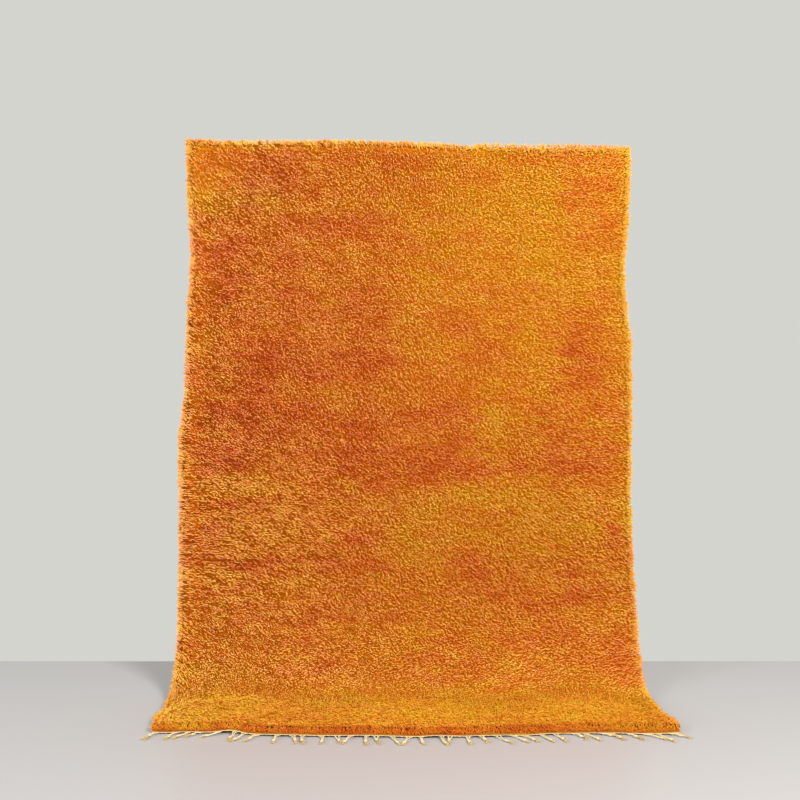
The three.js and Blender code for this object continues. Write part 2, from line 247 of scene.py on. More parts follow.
FRONT_DYE_AND_SHADE_DEPTH = 0.024
EVEN_TONE = 0.06

# Soft noise in layers: how strong, waves in a metre across and down, seed
BROAD_DYE = ((0.12, 4, 6, 11), (0.26, 13, 17, 12))
FINE_DYE = ((0.28, 34, 40, 15),)
LUMPS = ((0.0024, 10, 15, 21), (0.0014, 27, 34, 22), (0.0008, 62, 66, 23))
ROW_WANDER = ((0.006, 5, 9, 31), (0.003, 22, 16, 33))
# painted shade where the pile parts, which darkens its tufts
PARTING_SHADE = ((0.07, 9, 24, 51), (0.03, 26, 60, 52))

# How much painted shade or painted highlight a tuft carries, from 0, as dark as the shade deep in the pile,
# to 1, a painted highlight: at its root, its ring of three, whose third corner is a painted shadow along one
# side, and its tip
TIP_SHADE = np.array([0.15, 0.85, 0.85, 0.28, 1])
RIM_SHADE = np.array([0.45, -0.08, -0.08, 0.3, -0.25])  # how much more at the rim: less painted shade at the root and the shadowed corner, less painted highlight on the other corners and the tip
CALM_SHADE = np.array([0.2, 0, 0, 0.22, 0])  # and where few roots show: less painted shade at the root and the shadowed corner
# Tufts painted dark, as the shade in the gaps between tufts: how light their tips are, and their share
IN_SHADE_TIP = (0.04, 0.15)
IN_SHADE_SHARE = 0.34
KEEN_SHARE = 0.1  # the share given a painted highlight, as if it caught most light
# Painted shade on the tufts that hang over the front face, which stands in shade, and the least lightness it
# leaves them
FACE_SHADE = 0.69
FACE_LEAST_SHADE = 0.42

# The fringe, in bunches that lie as in its solid
BUNCHES = 36
CORD_LENGTH = 0.046
CORD_STEPS = 3
CORD_GAP = 0.0048  # from the cloth's edge to where a bunch begins
CORD_RINGS = 34
CORD_HEIGHT = 0.0028
CORD_TWISTS = 6
CORD_ARCH = 0.006  # the most that a cord rises between its ends
CORD_APART = 0.0017  # the least from a bunch's middle line to its cords
CORD_SPREAD = (0.001, 0.0045)  # how much more where they begin
PLY_RADIUS = 0.001
PLY_OFFSET = 0.00075  # from the middle of a cord to the middle of its plies
KNOT_LENGTH = 0.014
KNOT_HEIGHT = 0.0046
KNOT_WRAPS = 2.2
KNOT_SIZES = (0.75, 1.05)
KNOT_RADIUS = 0.0032
KNOT_CORD = 0.0017  # radius
KNOT_RINGS = 26
KNOT_CORE = (0.0016, 0.0028, 0.003, 0.003, 0.0026, 0.0016)  # radii
TAIL_LENGTH = 0.019
TAIL_STRANDS = 14
TAIL_RINGS = 9
TAIL_RADII = (0.001, 0.0004)  # where it begins and ends
WARPS = 4  # that gather into a bunch
WARP_PITCH = 0.007
WARP_RINGS = 6
WARP_RADIUS = 0.0009
EDGE_CORD_RINGS = 240
EDGE_CORD_PITCH = 0.013
EDGE_CORD_WAVE = 0.0006
EDGE_CORD_RADIUS = 0.0008
TURN_SPREAD = 22  # degrees
CURL = 26  # degrees
FRINGE_LIE = {
    "across": (-0.86, -0.56, -0.38, 0, 0.33, 0.48, 0.88),
    "turn": (-48, -38, 2, -6, 16, 42, 44),
}
UP = np.array([0, 0, 1.0])

# The camera: level, about a metre above the floor, 4 m in front of the hanging edge
CAMERA_X = -0.035
CAMERA_BACK = 4.025
CAMERA_HEIGHT = 1.065
CAMERA_LENS = 47.33
FLOOR_BACK = 0.265  # the stage's floor ends this far behind the rug's top edge
FLOOR_FRONT = 8
FLOOR_HALF = 6
FLOOR_GAP = 0.0005
LIGHTS = {
    # place, watts, size, colour
    "key": ((2.5, -4.2, 1.3), 382, 1.6, (1, 0.97, 0.93)),
    "fill": ((-3.6, -4.0, 0.1), 230, 3.0, (0.96, 0.98, 1)),
}
LIT_PLACE = (0, -0.2, -1.1)
WALL_COLOUR = (0.655, 0.66, 0.62, 1)
FLOOR_COLOUR = (0.39, 0.38, 0.385, 1)


def follow(table, key, column, x):
    """A column of a table at x, in a straight line between the rows on its two sides."""
    return np.interp(x, table[key], table[column])


def unit(v):
    return v / np.maximum(np.linalg.norm(v, axis=-1, keepdims=True), 1e-12)


def smoothstep(x, low, high):
    t = np.clip((x - low) / (high - low), 0, 1)
    return t * t * (3 - 2 * t)


def bell(x):
    return np.exp(-(x**2))


def lattice(ix, iy, seed):
    """A scatter from 0 to 1 on whole-number places, the same on every run."""
    value = np.sin(ix * 127.1 + iy * 311.7 + seed * 74.7) * 43758.5453
    return value - np.floor(value)


def smooth_noise(x, y, seed):
    """Soft noise from -1 to 1 that changes over a distance of about 1."""
    ix, iy = np.floor(x), np.floor(y)
    fx, fy = x - ix, y - iy
    fx, fy = fx * fx * (3 - 2 * fx), fy * fy * (3 - 2 * fy)
    low = lattice(ix, iy, seed) * (1 - fx) + lattice(ix + 1, iy, seed) * fx
    high = lattice(ix, iy + 1, seed) * (1 - fx) + lattice(ix + 1, iy + 1, seed) * fx
    return 2 * (low * (1 - fy) + high * fy) - 1


def layered(across, down, layers):
    """The sum of layers of soft noise on the cloth."""
    return sum(strength * smooth_noise(across * x, down * y, seed) for strength, x, y, seed in layers)


def cloth_run():
    """The cloth seen from the side: places forward and up, and how far down the cloth they are."""
    knots = FLOOR + WEAVE
    bend_start = np.array([HANG_LEAN, knots + BEND_HEIGHT])
    bend_end = np.array([BEND_REACH, knots])
    front = np.array([FOOT_REACH, knots])
    first = bend_start + unit(bend_start) * BEND_PULL_UP
    second = bend_end - (BEND_PULL_BACK, 0)
    t = np.linspace(0, 1, 600)[:, None]
    bend = (1 - t) ** 3 * bend_start + 3 * (1 - t) ** 2 * t * first
    bend = bend + 3 * (1 - t) * t**2 * second + t**3 * bend_end
    hang = np.linspace((0, 0), bend_start, 1200)
    foot = np.linspace(bend_end, front, 300)
    run = np.vstack([hang, bend[1:], foot[1:]])
    steps = np.linalg.norm(np.diff(run, axis=0), axis=1)
    return run, np.concatenate([[0], np.cumsum(steps)])


RUN, RUN_DOWN = cloth_run()
RUN_WAY = unit(np.gradient(RUN, axis=0))
RUN_LENGTH = RUN_DOWN[-1]
FOOT_START = RUN_LENGTH - (FOOT_REACH - BEND_REACH)


def run_at(down, values):
    inside = np.clip(down, 0, RUN_LENGTH)
    return np.stack([np.interp(inside, RUN_DOWN, values[:, i]) for i in (0, 1)], -1)


def cloth_axes(down):
    """The unit vectors down the cloth and out of its pile, at distances down it."""
    way = run_at(down, RUN_WAY)
    none = np.zeros_like(way[..., 0])
    downward = np.stack([none, -way[..., 0], way[..., 1]], -1)
    outward = np.stack([none, way[..., 1], way[..., 0]], -1)
    return unit(downward), unit(outward)


def front_lift(across):
    """How far the front edge stands off the floor, which it does least evenly where it buckles."""
    buckle = sum(height * bell((across - middle) / half) for middle, half, height in BUCKLES)
    return FRONT_LIFT + FRONT_LIFT_WAVE * smooth_noise(across * 14, 0 * across, 41) + buckle


def on_cloth(across, down, out):
    """The place across from the middle, down from the hanging edge and out from the knots' plane."""
    across, down, out = np.broadcast_arrays(across, down, out)
    way = run_at(down, RUN_WAY)
    point = run_at(down, RUN) + way * (down - np.clip(down, 0, RUN_LENGTH))[..., None]
    forward = point[..., 0] - out * way[..., 1]
    up = point[..., 1] + out * way[..., 0]
    up = up + front_lift(across) * (1 - smoothstep(cloth_end(across) - down, 0, FRONT_LIFT_FADE))
    return np.stack([across, -forward, np.maximum(up, FLOOR)], -1)


def side_reach(down, side):
    return follow(SIDES, "down", side, down)


def pile_reach(down, side):
    """How far the pile reaches to a side."""
    return side_reach(down, side) - RIM_INSET[side]


def top_rise(across):
    return follow(TOP_EDGE, "across", "rise", across)


def front_reach(across):
    return follow(FRONT_EDGE, "across", "reach", across)


def cloth_end(across):
    return FOOT_START + front_reach(across) - BEND_REACH


def shifted(across, down):
    """A row's distance down the cloth, drawn to the uneven top and front edges where it is near them."""
    from_top = top_rise(across) * np.maximum(0, 1 - down / TOP_EDGE_FADE)
    share = np.clip((down - FOOT_START) / (cloth_end(0) - FOOT_START), 0, 1)
    return down - from_top + (cloth_end(across) - cloth_end(0)) * share


def edge_distances(across, down):
    """How far a place is from the pile's left, right, top and front edges."""
    left = across + side_reach(down, "left")
    right = side_reach(down, "right") - across
    return left, right, down + top_rise(across), cloth_end(across) - BAND_DEPTH - down


# Meshes


def mesh_object(name, points, quads, triangles=None, values=None, uv=None, normals=None):
    """A smooth-shaded object from arrays; values holds named numbers for each point."""
    triangles = np.zeros((0, 3), int) if triangles is None else triangles
    mesh = bpy.data.meshes.new(name)
    corners = np.concatenate([quads.ravel(), triangles.ravel()]).astype(np.int32)
    sizes = np.concatenate([np.full(len(quads), 4), np.full(len(triangles), 3)])
    starts = np.concatenate([[0], np.cumsum(sizes)[:-1]]).astype(np.int32)
    mesh.vertices.add(len(points))
    mesh.vertices.foreach_set("co", points.astype(np.float32).ravel())
    mesh.loops.add(len(corners))
    mesh.loops.foreach_set("vertex_index", corners)
    mesh.polygons.add(len(sizes))
    mesh.polygons.foreach_set("loop_start", starts)
    mesh.update(calc_edges=True)
    mesh.polygons.foreach_set("use_smooth", np.ones(len(sizes), bool))
    for key, numbers in (values or {}).items():
        layer = mesh.attributes.new(key, "FLOAT", "POINT")
        layer.data.foreach_set("value", numbers.astype(np.float32).ravel())
    if uv is not None:
        layer = mesh.uv_layers.new(name="OFBake")
        layer.data.foreach_set("uv", uv.astype(np.float32).ravel())
    if normals is not None:
        mesh.normals_split_custom_set_from_vertices(normals.astype(np.float32))
    made = bpy.data.objects.new(name, mesh)
    bpy.context.scene.collection.objects.link(made)
    return made


def grid_quads(rows, columns):
    r, c = np.mgrid[0 : rows - 1, 0 : columns - 1]
    a = r * columns + c
    return np.stack([a, a + columns, a + columns + 1, a + 1], -1).reshape(-1, 4)


def rim_quads(rows, columns):
    """The faces that join a front grid and the back grid after it round their edges."""
    around = np.concatenate([
        np.arange(columns),
        np.arange(1, rows) * columns + columns - 1,
        (rows - 1) * columns + np.arange(columns - 2, -1, -1),
        np.arange(rows - 2, 0, -1) * columns,
    ])
    after = np.roll(around, -1)
    back = rows * columns
    return np.stack([around + back, after + back, after, around], -1)


def cloth_grid(rows, columns, start, end):
    """Places in even rows over the cloth, as far as the pile reaches, crowded to the sides."""
    share = np.linspace(0, 1, columns)
    share = 0.6 * share + 0.4 * (1 - np.cos(math.pi * share)) / 2
    down = np.linspace(start, end, rows)[:, None]
    left, right = pile_reach(down, "left"), pile_reach(down, "right")
    across = -left + (left + right) * share
    return across, shifted(across, down + 0 * across)


def two_sided(name, front, back, values):
    """A closed piece from a grid of points in front and one behind; both have the same values."""
    rows, columns = front.shape[:2]
    face = grid_quads(rows, columns)
    quads = np.concatenate([face, face[:, ::-1] + rows * columns, rim_quads(rows, columns)])
    points = np.concatenate([front.reshape(-1, 3), back.reshape(-1, 3)])
    values = {key: np.tile(numbers.ravel(), 2) for key, numbers in values.items()}
    return mesh_object(name, points, quads, values=values)


# The dye and the lie of the pile


def rim_gold(side, distance):
    """How much lighter the dye is at a distance from an edge."""
    strength, reach = RIM_GOLD[side]
    return strength * bell(distance / reach)


def dye_tone(across, down):
    """How light the dye took, from about -1 to 1: charted patches, and streaks along the rows of knots; at
    the front, darker dye with painted shade.
    """
    row = np.floor(down / KNOT_ROW + 0.3 * smooth_noise(across * 6, down * 9, 32))
    wander_x = across + 0.05 * smooth_noise(across * 7, down * 9, 3) + 0.11 * (lattice(row, 0, 7) - 0.5)
    wander_y = down + 0.025 * smooth_noise(across * 8, down * 11, 4)
    wander_y += 0.012 * smooth_noise(across * 24, down * 24, 8)
    tone = np.zeros_like(across)
    for x, y, wide, long, value in PATCHES:
        tone += value * np.exp(-(((wander_x - x) / wide) ** 2) - ((wander_y - y) / long) ** 2)
    left, right, top, front = edge_distances(across, down)
    rim = rim_gold("right", right) * (down < RIGHT_GOLD_END)
    rim += rim_gold("left", left)
    rim += rim_gold("top", top)
    # the ragged band at the front: darker dye with painted shade of the pile's shaded front
    flame = front + 0.014 * smooth_noise(across * 40, down * 30, 16)
    flame_reach = FRONT_DYE_AND_SHADE_DEPTH * (1 - 0.6 * follow(FRONT_DYE_AND_SHADE, "across", "gold", across))
    rim += follow(FRONT_DYE_AND_SHADE, "across", "tone", across) * bell(flame / flame_reach)
    broad, fine = layered(across, down, BROAD_DYE), layered(across, down, FINE_DYE)
    streak = 0.36 * smooth_noise(across * 10 + 31 * lattice(row, 0, 5), row * 0.7, 13)
    return PATCH_STRENGTH * tone + rim + broad + fine + streak + EVEN_TONE


def as_share(tone):
    """A tone from -1 to 1 as a place in the dye's ramp, from 0 to 1."""
    return 0.5 + 0.5 * tone


def pile_lumps(across, down):
    """How far the pile stands above or below its even height."""
    return layered(across, down, LUMPS)


def pile_lie(across, down):
    """The slope of the pile's strokes, and how alike neighbours lie."""
    gap = (across[:, None] - LIE[:, 0]) ** 2 + (down[:, None] - LIE[:, 1]) ** 2 + 0.01
    weight = gap**-1.5
    mixed = weight @ LIE[:, 2:] / weight.sum(1, keepdims=True)
    return np.radians(mixed[:, 0]), mixed[:, 1]


def row_share(across, down):
    """From 0 to 1, how plainly the rows of knots show: most where the pile lies along them, at the left."""
    slope, order = pile_lie(across, down)
    along_rows = (1 - smoothstep(slope, 0.2, 0.6)) * smoothstep(order, 0.68, 0.85)
    return along_rows * (1 - smoothstep(down, 1.9, 2.0))


def locks(across, down):
    """Soft noise drawn out along the way the pile lies, where tufts cling together."""
    slope, _ = pile_lie(across, down)
    total = np.zeros_like(across)
    for step in np.linspace(-0.5, 0.5, LOCK_STEPS) * LOCK_LENGTH:
        x, y = across + step * np.cos(slope), down + step * np.sin(slope)
        total += smooth_noise(x / LOCK_WIDTH, y / LOCK_WIDTH, 62)
    return total


def calm_place(across, down):
    """Where few roots show, and less painted shade falls between the tufts, from 0: on the foot and in the
    upper left corner, 1, less at the upper right.
    """
    corner = 1 - smoothstep(np.hypot(across + 0.84, down), 0.1, 0.3)
    upper_right = smoothstep(across, -0.2, 0.4) * (1 - smoothstep(down, 0.7, 1.3))
    return smoothstep(down, 2.0, 2.2) + corner + 0.3 * upper_right


def lying_share(across, down):
    """How flat the pile lies, from 0: most on the foot, 1, and towards the upper left corner."""
    return smoothstep(down, 2.02, 2.22) + 0.8 * (1 - smoothstep(np.hypot(across + 0.8, down), 0.1, 0.6))


def rim_pull(across, down):
    """How near the rim a place is, from 0 to 1, and the way out over it, to the right and down the cloth."""
    depths = RIM_PULL.values()
    left, right, top, front = (
        1 - smoothstep(distance, 0, depth) for distance, depth in zip(edge_distances(across, down), depths)
    )
    return np.maximum.reduce([left, right, top, front]), np.stack([right - left, front - top], -1)


# Materials


def material(name, roughness):
    made = bpy.data.materials.new(name)
    made.use_nodes = True
    shader = made.node_tree.nodes["Principled BSDF"]
    shader.inputs["Roughness"].default_value = roughness
    shader.inputs["Specular IOR Level"].default_value = 0.05
    return made, made.node_tree, shader


def attribute(tree, name):
    node = tree.nodes.new("ShaderNodeAttribute")
    node.attribute_name = name
    return node.outputs["Fac"]


def ramp(tree, value, stops):
    node = tree.nodes.new("ShaderNodeValToRGB")
    tree.links.new(value, node.inputs["Fac"])
    elements = node.color_ramp.elements
    while len(elements) < len(stops):
        elements.new(0.5)
    for element, (place, colour) in zip(elements, stops):
        element.position = place
        element.color = (*colour, 1)
    return node.outputs["Color"]


def multiplied(tree, a, b, share=None):
    """Colour a times b, which is another colour's socket or a fixed one; share is the socket for how much."""
    node = tree.nodes.new("ShaderNodeMix")
    node.data_type = "RGBA"
    node.blend_type = "MULTIPLY"
    if share is None:
        node.inputs["Factor"].default_value = 1.0
    else:
        tree.links.new(share, node.inputs["Factor"])
    tree.links.new(a, node.inputs["A"])
    if isinstance(b, tuple):
        node.inputs["B"].default_value = (*b, 1)
    else:
        tree.links.new(b, node.inputs["B"])
    return node.outputs["Result"]


def noise(tree, scale, detail=2.0, stretch=None):
    place = tree.nodes.new("ShaderNodeTexCoord").outputs["Object"]
    if stretch:
        mapping = tree.nodes.new("ShaderNodeMapping")
        mapping.inputs["Scale"].default_value = stretch
        tree.links.new(place, mapping.inputs["Vector"])
        place = mapping.outputs["Vector"]
    node = tree.nodes.new("ShaderNodeTexNoise")
    node.inputs["Scale"].default_value = scale
    node.inputs["Detail"].default_value = detail
    tree.links.new(place, node.inputs["Vector"])
    return node.outputs["Fac"]


def bump(tree, shader, height, strength, distance):
    node = tree.nodes.new("ShaderNodeBump")
    node.inputs["Strength"].default_value = strength
    node.inputs["Distance"].default_value = distance
    tree.links.new(height, node.inputs["Height"])
    tree.links.new(node.outputs["Normal"], shader.inputs["Normal"])


# The dye at a tuft's tip, from burnt orange to gold; and the painted shade that darkens it towards the root,
# deep in the pile, rising to a paler, bluer painted highlight at the tip
DYE = (
    (0.0, (0.74, 0.205, 0.055)),
    (0.2, (0.83, 0.285, 0.07)),
    (0.5, (0.89, 0.41, 0.075)),
    (0.75, (0.9, 0.505, 0.07)),
    (1.0, (0.88, 0.58, 0.06)),
)
PAINTED_SHADE_AND_HIGHLIGHT = (
    (0.0, (0.22, 0.04, 0)),
    (0.35, (0.64, 0.435, 0.06)),
    (0.7, (0.84, 0.76, 0.55)),
    (1.0, (0.98, 1.02, 1.9)),
)
FIBRES = ((0.3, (0.88, 0.85, 0.8)), (0.7, (1, 1, 1)))
WEFTS = ((0.35, (0.6, 0.55, 0.5)), (0.65, (1, 1, 1)))
YARN = ((0.3, (0.46, 0.34, 0.15)), (0.55, (0.68, 0.56, 0.33)), (0.8, (0.76, 0.67, 0.46)))
FRAYED = (0.93, 0.84, 0.62)


def wool_material():
    made, tree, shader = material("wool_pile", 0.9)
    dyed = ramp(tree, attribute(tree, "tone"), DYE)
    fibres = noise(tree, 900)
    dyed = multiplied(tree, dyed, ramp(tree, fibres, FIBRES))
    # painted shade towards the roots of the tufts and a painted highlight at their tips, as the tip values
    # give
    depth = ramp(tree, attribute(tree, "tip"), PAINTED_SHADE_AND_HIGHLIGHT)
    tree.links.new(multiplied(tree, dyed, depth), shader.inputs["Base Color"])
    bump(tree, shader, fibres, 0.4, 0.001)
    return made


def yarn_material():
    made, tree, shader = material("fringe_yarn", 0.9)
    fibres = noise(tree, 700)
    colour = ramp(tree, fibres, YARN)
    colour = multiplied(tree, colour, FRAYED, attribute(tree, "fray"))
    tree.links.new(colour, shader.inputs["Base Color"])
    bump(tree, shader, fibres, 0.4, 0.001)
    return made


def weave_material():
    made, tree, shader = material("woven_ground", 0.95)
    dyed = ramp(tree, attribute(tree, "tone"), DYE)
    wefts = noise(tree, 60, detail=3.0, stretch=(4, 14, 14))
    colour = multiplied(tree, dyed, ramp(tree, wefts, WEFTS))
    tree.links.new(colour, shader.inputs["Base Color"])
    bump(tree, shader, wefts, 0.6, 0.002)
    return made


# The cloth and its pile


def woven_ground():
    """The woven cloth behind the pile, which ends in the flat-woven band."""
    across, down = cloth_grid(*GROUND_GRID, GROUND_TOP, cloth_end(0))
    from_end = cloth_end(across) - down
    thinner = 0.0022 * (1 - smoothstep(from_end, 0.004, 0.05))
    band = 0.55 + 0.25 * smooth_noise(across * 11, 0 * across, 44)
    tone = np.where(from_end < BAND_DEPTH, band, as_share(dye_tone(across, down)))
    front, back = on_cloth(across, down, 0), on_cloth(across, down, thinner - WEAVE)
    made = two_sided("woven_ground", front, back, {"tone": tone})
    made.data.materials.append(weave_material())
    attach(made, "root")
    return made


def pile_bed(wool):
    """The tufts' packed lower halves, as one lumpy surface that closes onto the woven ground, painted dark
    with the shade deep in the pile.
    """
    across, down = cloth_grid(*BED_GRID, PILE_TOP, cloth_end(0) - BAND_DEPTH)
    left, right, top, front = edge_distances(across, down)
    near = np.minimum.reduce([left, right, top, front + 0.004])
    packed = BED_HEIGHT + BED_HIGHER * smoothstep(down, 1.95, 2.15)
    lumps = pile_lumps(across, down) * smoothstep(near, 0, 0.05)
    height = packed * smoothstep(near, -0.008, 0.014) + lumps
    tone = as_share(dye_tone(across, down))
    # its colour is painted shade of the deep pile, lighter near the rim and where the pile is calm
    tip = 0.12 + 0.26 * (1 - smoothstep(near, 0.003, 0.018)) + 0.1 * calm_place(across, down)
    front, back = on_cloth(across, down, np.maximum(height, 0.0005)), on_cloth(across, down, 0.0002)
    made = two_sided("pile_bed", front, back, {"tone": tone, "tip": tip})
    made.data.materials.append(wool)
    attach(made, "root")
    return made


def knotted_places(rng, end):
    """Where the tufts of the knots are rooted, in rows that stray a little."""
    across, down = [], []
    for row in np.arange(KNOT_ROW * 0.5, end, KNOT_ROW):
        left, right = pile_reach(row, "left"), pile_reach(row, "right")
        count = int((left + right) / KNOT_PITCH) + 1
        knots = np.repeat(np.linspace(-left, right, count), TUFTS_PER_KNOT)
        tuft = np.tile(np.arange(TUFTS_PER_KNOT), count)
        across.append(knots + (tuft % KNOT_COLUMNS - 1) * KNOT_PITCH / KNOT_COLUMNS)
        down.append(row + (tuft // KNOT_COLUMNS - 0.5) * KNOT_ROW / KNOT_LINES)
    across, down = np.concatenate(across), np.concatenate(down)
    across = across + rng.uniform(-SHIFT_ACROSS, SHIFT_ACROSS, len(across)) * KNOT_PITCH / KNOT_COLUMNS
    stray = rng.uniform(-SHIFT_DOWN, SHIFT_DOWN, len(down)) * KNOT_ROW / KNOT_LINES
    down = down + stray * (1 - ROWS_KEPT * row_share(across, down))
    return across, down + layered(across, down, ROW_WANDER) * smoothstep(down, 0, 0.1)


def tuft_places(rng):
    """Where each tuft is rooted: in the knots, and more along the rim and over the front face."""
    end = cloth_end(0) - BAND_DEPTH - EDGE_MARGIN
    places = [knotted_places(rng, end)]
    count = int(RIM_TUFTS * end)
    for side, sign in (("left", -1), ("right", 1)):
        down = rng.uniform(GROUND_TOP, end, count)
        inwards = RIM_INSET[side] + rng.uniform(0, RIM_DEPTH, count)
        places.append((sign * (side_reach(down, side) - inwards), down))
    count = int(RIM_TUFTS * 2 * RIM_HALF)
    for start, sign in ((EDGE_MARGIN, 1), (end, -1)):
        across = rng.uniform(-RIM_HALF, RIM_HALF, count)
        places.append((across, start + sign * rng.uniform(0, RIM_DEPTH, count)))
    count = int(FACE_TUFTS * 2 * RIM_HALF)
    across = rng.uniform(-RIM_HALF, RIM_HALF, count)
    places.append((across, end - rng.uniform(0, FACE_DEPTH - EDGE_MARGIN, count)))
    across, down = (np.concatenate(values) for values in zip(*places))
    down = np.clip(down, PILE_TOP, end)
    left, right = pile_reach(down, "left"), pile_reach(down, "right")
    return np.clip(across, EDGE_MARGIN - left, right - EDGE_MARGIN), shifted(across, down)


def drawn(rng, share):
    """Which ones are picked by chance, where each is picked with its own share."""
    return rng.uniform(0, 1, len(share)) < share


def tuft_ways(rng, across, down, near, out_way):
    """Which way each tuft lies: a unit vector to the right and down the cloth."""
    slope, order = pile_lie(across, down)
    slope = slope + rng.normal(0, 1, len(slope)) * (LEAST_TURN + MOST_TURN * (1 - order) ** 2)
    way = np.stack([np.cos(slope), np.sin(slope)], 1)
    left, _, top, _ = edge_distances(across, down)
    turning = 1 - smoothstep(left, 0.01, 0.09) + (1 - smoothstep(top, 0.005, 0.04)) * (across < 0.3)
    way = np.where(drawn(rng, turning)[:, None], -way, way)
    splayed = drawn(rng, near)[:, None]
    return unit(np.where(splayed, unit(out_way) + rng.normal(0, SPLAY, way.shape), way))


def tuft_sizes(rng, across, down, near, out_way):
    """How high each tuft stands, how far its tip leans, and how flat it lies, from 0 to 1."""
    count = len(across)
    at_front = np.clip(out_way[:, 1], 0, 1)
    height = TUFT_HEIGHT * rng.uniform(*HEIGHT_SPREAD, count) + pile_lumps(across, down)
    height *= 1 - near * rng.uniform(*RIM_SHORTER, count) * (1 - 0.6 * at_front)
    spread = rng.uniform(*REACH_SPREAD, count) * (1 - 0.4 * near)
    reach = TUFT_REACH * (1 + spread) * (1 + RIM_REACH * near)
    reach *= (1 - 0.45 * at_front) * (1 + 0.4 * near * smooth_noise(across * 28, down * 28, 61))
    reach *= 1 + ROW_REACH * row_share(across, down) * (1 - near)
    lying = lying_share(across, down) * (1 - near)
    return height, reach * (1 + LYING_REACH * lying), lying


def spindles(rng, root, middle, tip, outward, width):
    """The points of tufts, from a root over a ring of three round its middle to a tip, with their normals."""
    spin = rng.normal(0, SPIN, len(root))
    along = unit(tip - root)
    v = unit(np.cross(along, outward))
    u = np.cross(v, along)
    points, normals = [root], [outward]
    for corner in range(3):
        angle = spin + corner * 2 * math.pi / 3
        offset = u * np.cos(angle)[:, None] + v * np.sin(angle)[:, None]
        points.append(middle + offset * (width / 2)[:, None])
        normals.append(unit(offset * (1 - SOFTNESS) + outward * SOFTNESS))
    points.append(tip)
    normals.append(unit(along * (1 - SOFTNESS) + outward * SOFTNESS))
    return np.stack(points, 1), np.stack(normals, 1)


def tuft_shape(rng, across, down):
    """The points and normals of the tufts, which lean their own ways or hang over the front face."""
    count = len(across)
    near, out_way = rim_pull(across, down)
    way = tuft_ways(rng, across, down, near, out_way)
    downward, outward = cloth_axes(down)
    sideways = np.zeros((count, 3))
    sideways[:, 0] = 1
    lean = sideways * way[:, :1] + downward * way[:, 1:]
    height, reach, lying = tuft_sizes(rng, across, down, near, out_way)
    curl = rng.normal(0, BOW, (count, 2))
    bow = sideways * curl[:, :1] + downward * curl[:, 1:]
    width = TUFT_WIDTH * rng.uniform(*WIDTH_SPREAD, count) * (1 + RIM_WIDTH * near)

    face = edge_distances(across, down)[3] < FACE_DEPTH
    low = rng.uniform(0, 1, count)
    rise = np.where(face, FACE_RISE * height * low - 0.004, height * (TIP_HEIGHT - LYING_DROP * lying))
    knee = np.where(face, 0.002 + FACE_KNEE * height * low, height * (KNEE_HEIGHT + LYING_DROP * lying))
    over = rng.uniform(-1, 1, count)
    over = np.sign(over) * (FACE_LEAST + (1 - FACE_LEAST) * np.abs(over))
    ahead = rng.uniform(*FACE_AHEAD, count) * TUFT_REACH
    hang = sideways * (over * TUFT_REACH * FACE_SIDE)[:, None] + downward * ahead[:, None]
    face = face[:, None]
    tip_lean = np.where(face, hang, lean * reach[:, None])
    knee_lean = lean * (reach * KNEE_REACH)[:, None] + bow
    knee_lean = np.where(face, hang * 0.4 + downward * 0.003, knee_lean)

    root = on_cloth(across, down, TUFT_ROOT)
    middle = root + outward * knee[:, None] + knee_lean
    tip = root + outward * rise[:, None] + tip_lean
    return spindles(rng, root, middle, tip, outward, width)


def tuft_faces(count):
    """The triangles of tufts."""
    low = [(0, 1 + (c + 1) % 3, 1 + c) for c in range(3)]
    high = [(1 + c, 1 + (c + 1) % 3, 4) for c in range(3)]
    first = np.arange(count)[:, None, None] * TUFT_POINTS
    return (first + np.array(low + high)).reshape(-1, 3)


def tuft_map(count):
    """A square of the map for each tuft, with a margin: its three sides, root to tip upwards."""
    side = math.ceil(math.sqrt(count))
    cell, margin = 1 / side, MAP_MARGIN / side
    inner = cell - 2 * margin
    tuft = np.arange(count)
    origin = np.stack([tuft % side, tuft // side], -1) * cell + margin
    ring = MAP_RING
    low = [(((c + 0.5) / 3, 0), ((c + 1) / 3, ring), (c / 3, ring)) for c in range(3)]
    high = [((c / 3, ring), ((c + 1) / 3, ring), ((c + 0.5) / 3, 1)) for c in range(3)]
    return (origin[:, None, None] + np.array(low + high) * inner).reshape(-1, 2)


def ranked(values):
    """The values' places in their order, from 0 to 1."""
    return np.argsort(np.argsort(values, kind="stable"), kind="stable") / len(values)


def even_shares(rng, in_row):
    """Shares from 0 to 1, even over a knot's tufts; with the chance in_row, low ones in its second line."""
    count = len(in_row)
    ranks = np.tile(np.arange(TUFTS_PER_KNOT), (math.ceil(count / TUFTS_PER_KNOT), 1))
    mixed = rng.permuted(ranks, axis=1)
    first = rng.permuted(ranks[:, KNOT_COLUMNS:], axis=1)
    second = rng.permuted(ranks[:, :KNOT_COLUMNS], axis=1)
    by_line = np.concatenate([first, second], 1)
    rank = np.where(drawn(rng, in_row), by_line.ravel()[:count], mixed.ravel()[:count])
    return (rank + rng.uniform(0, 1, count)) / TUFTS_PER_KNOT


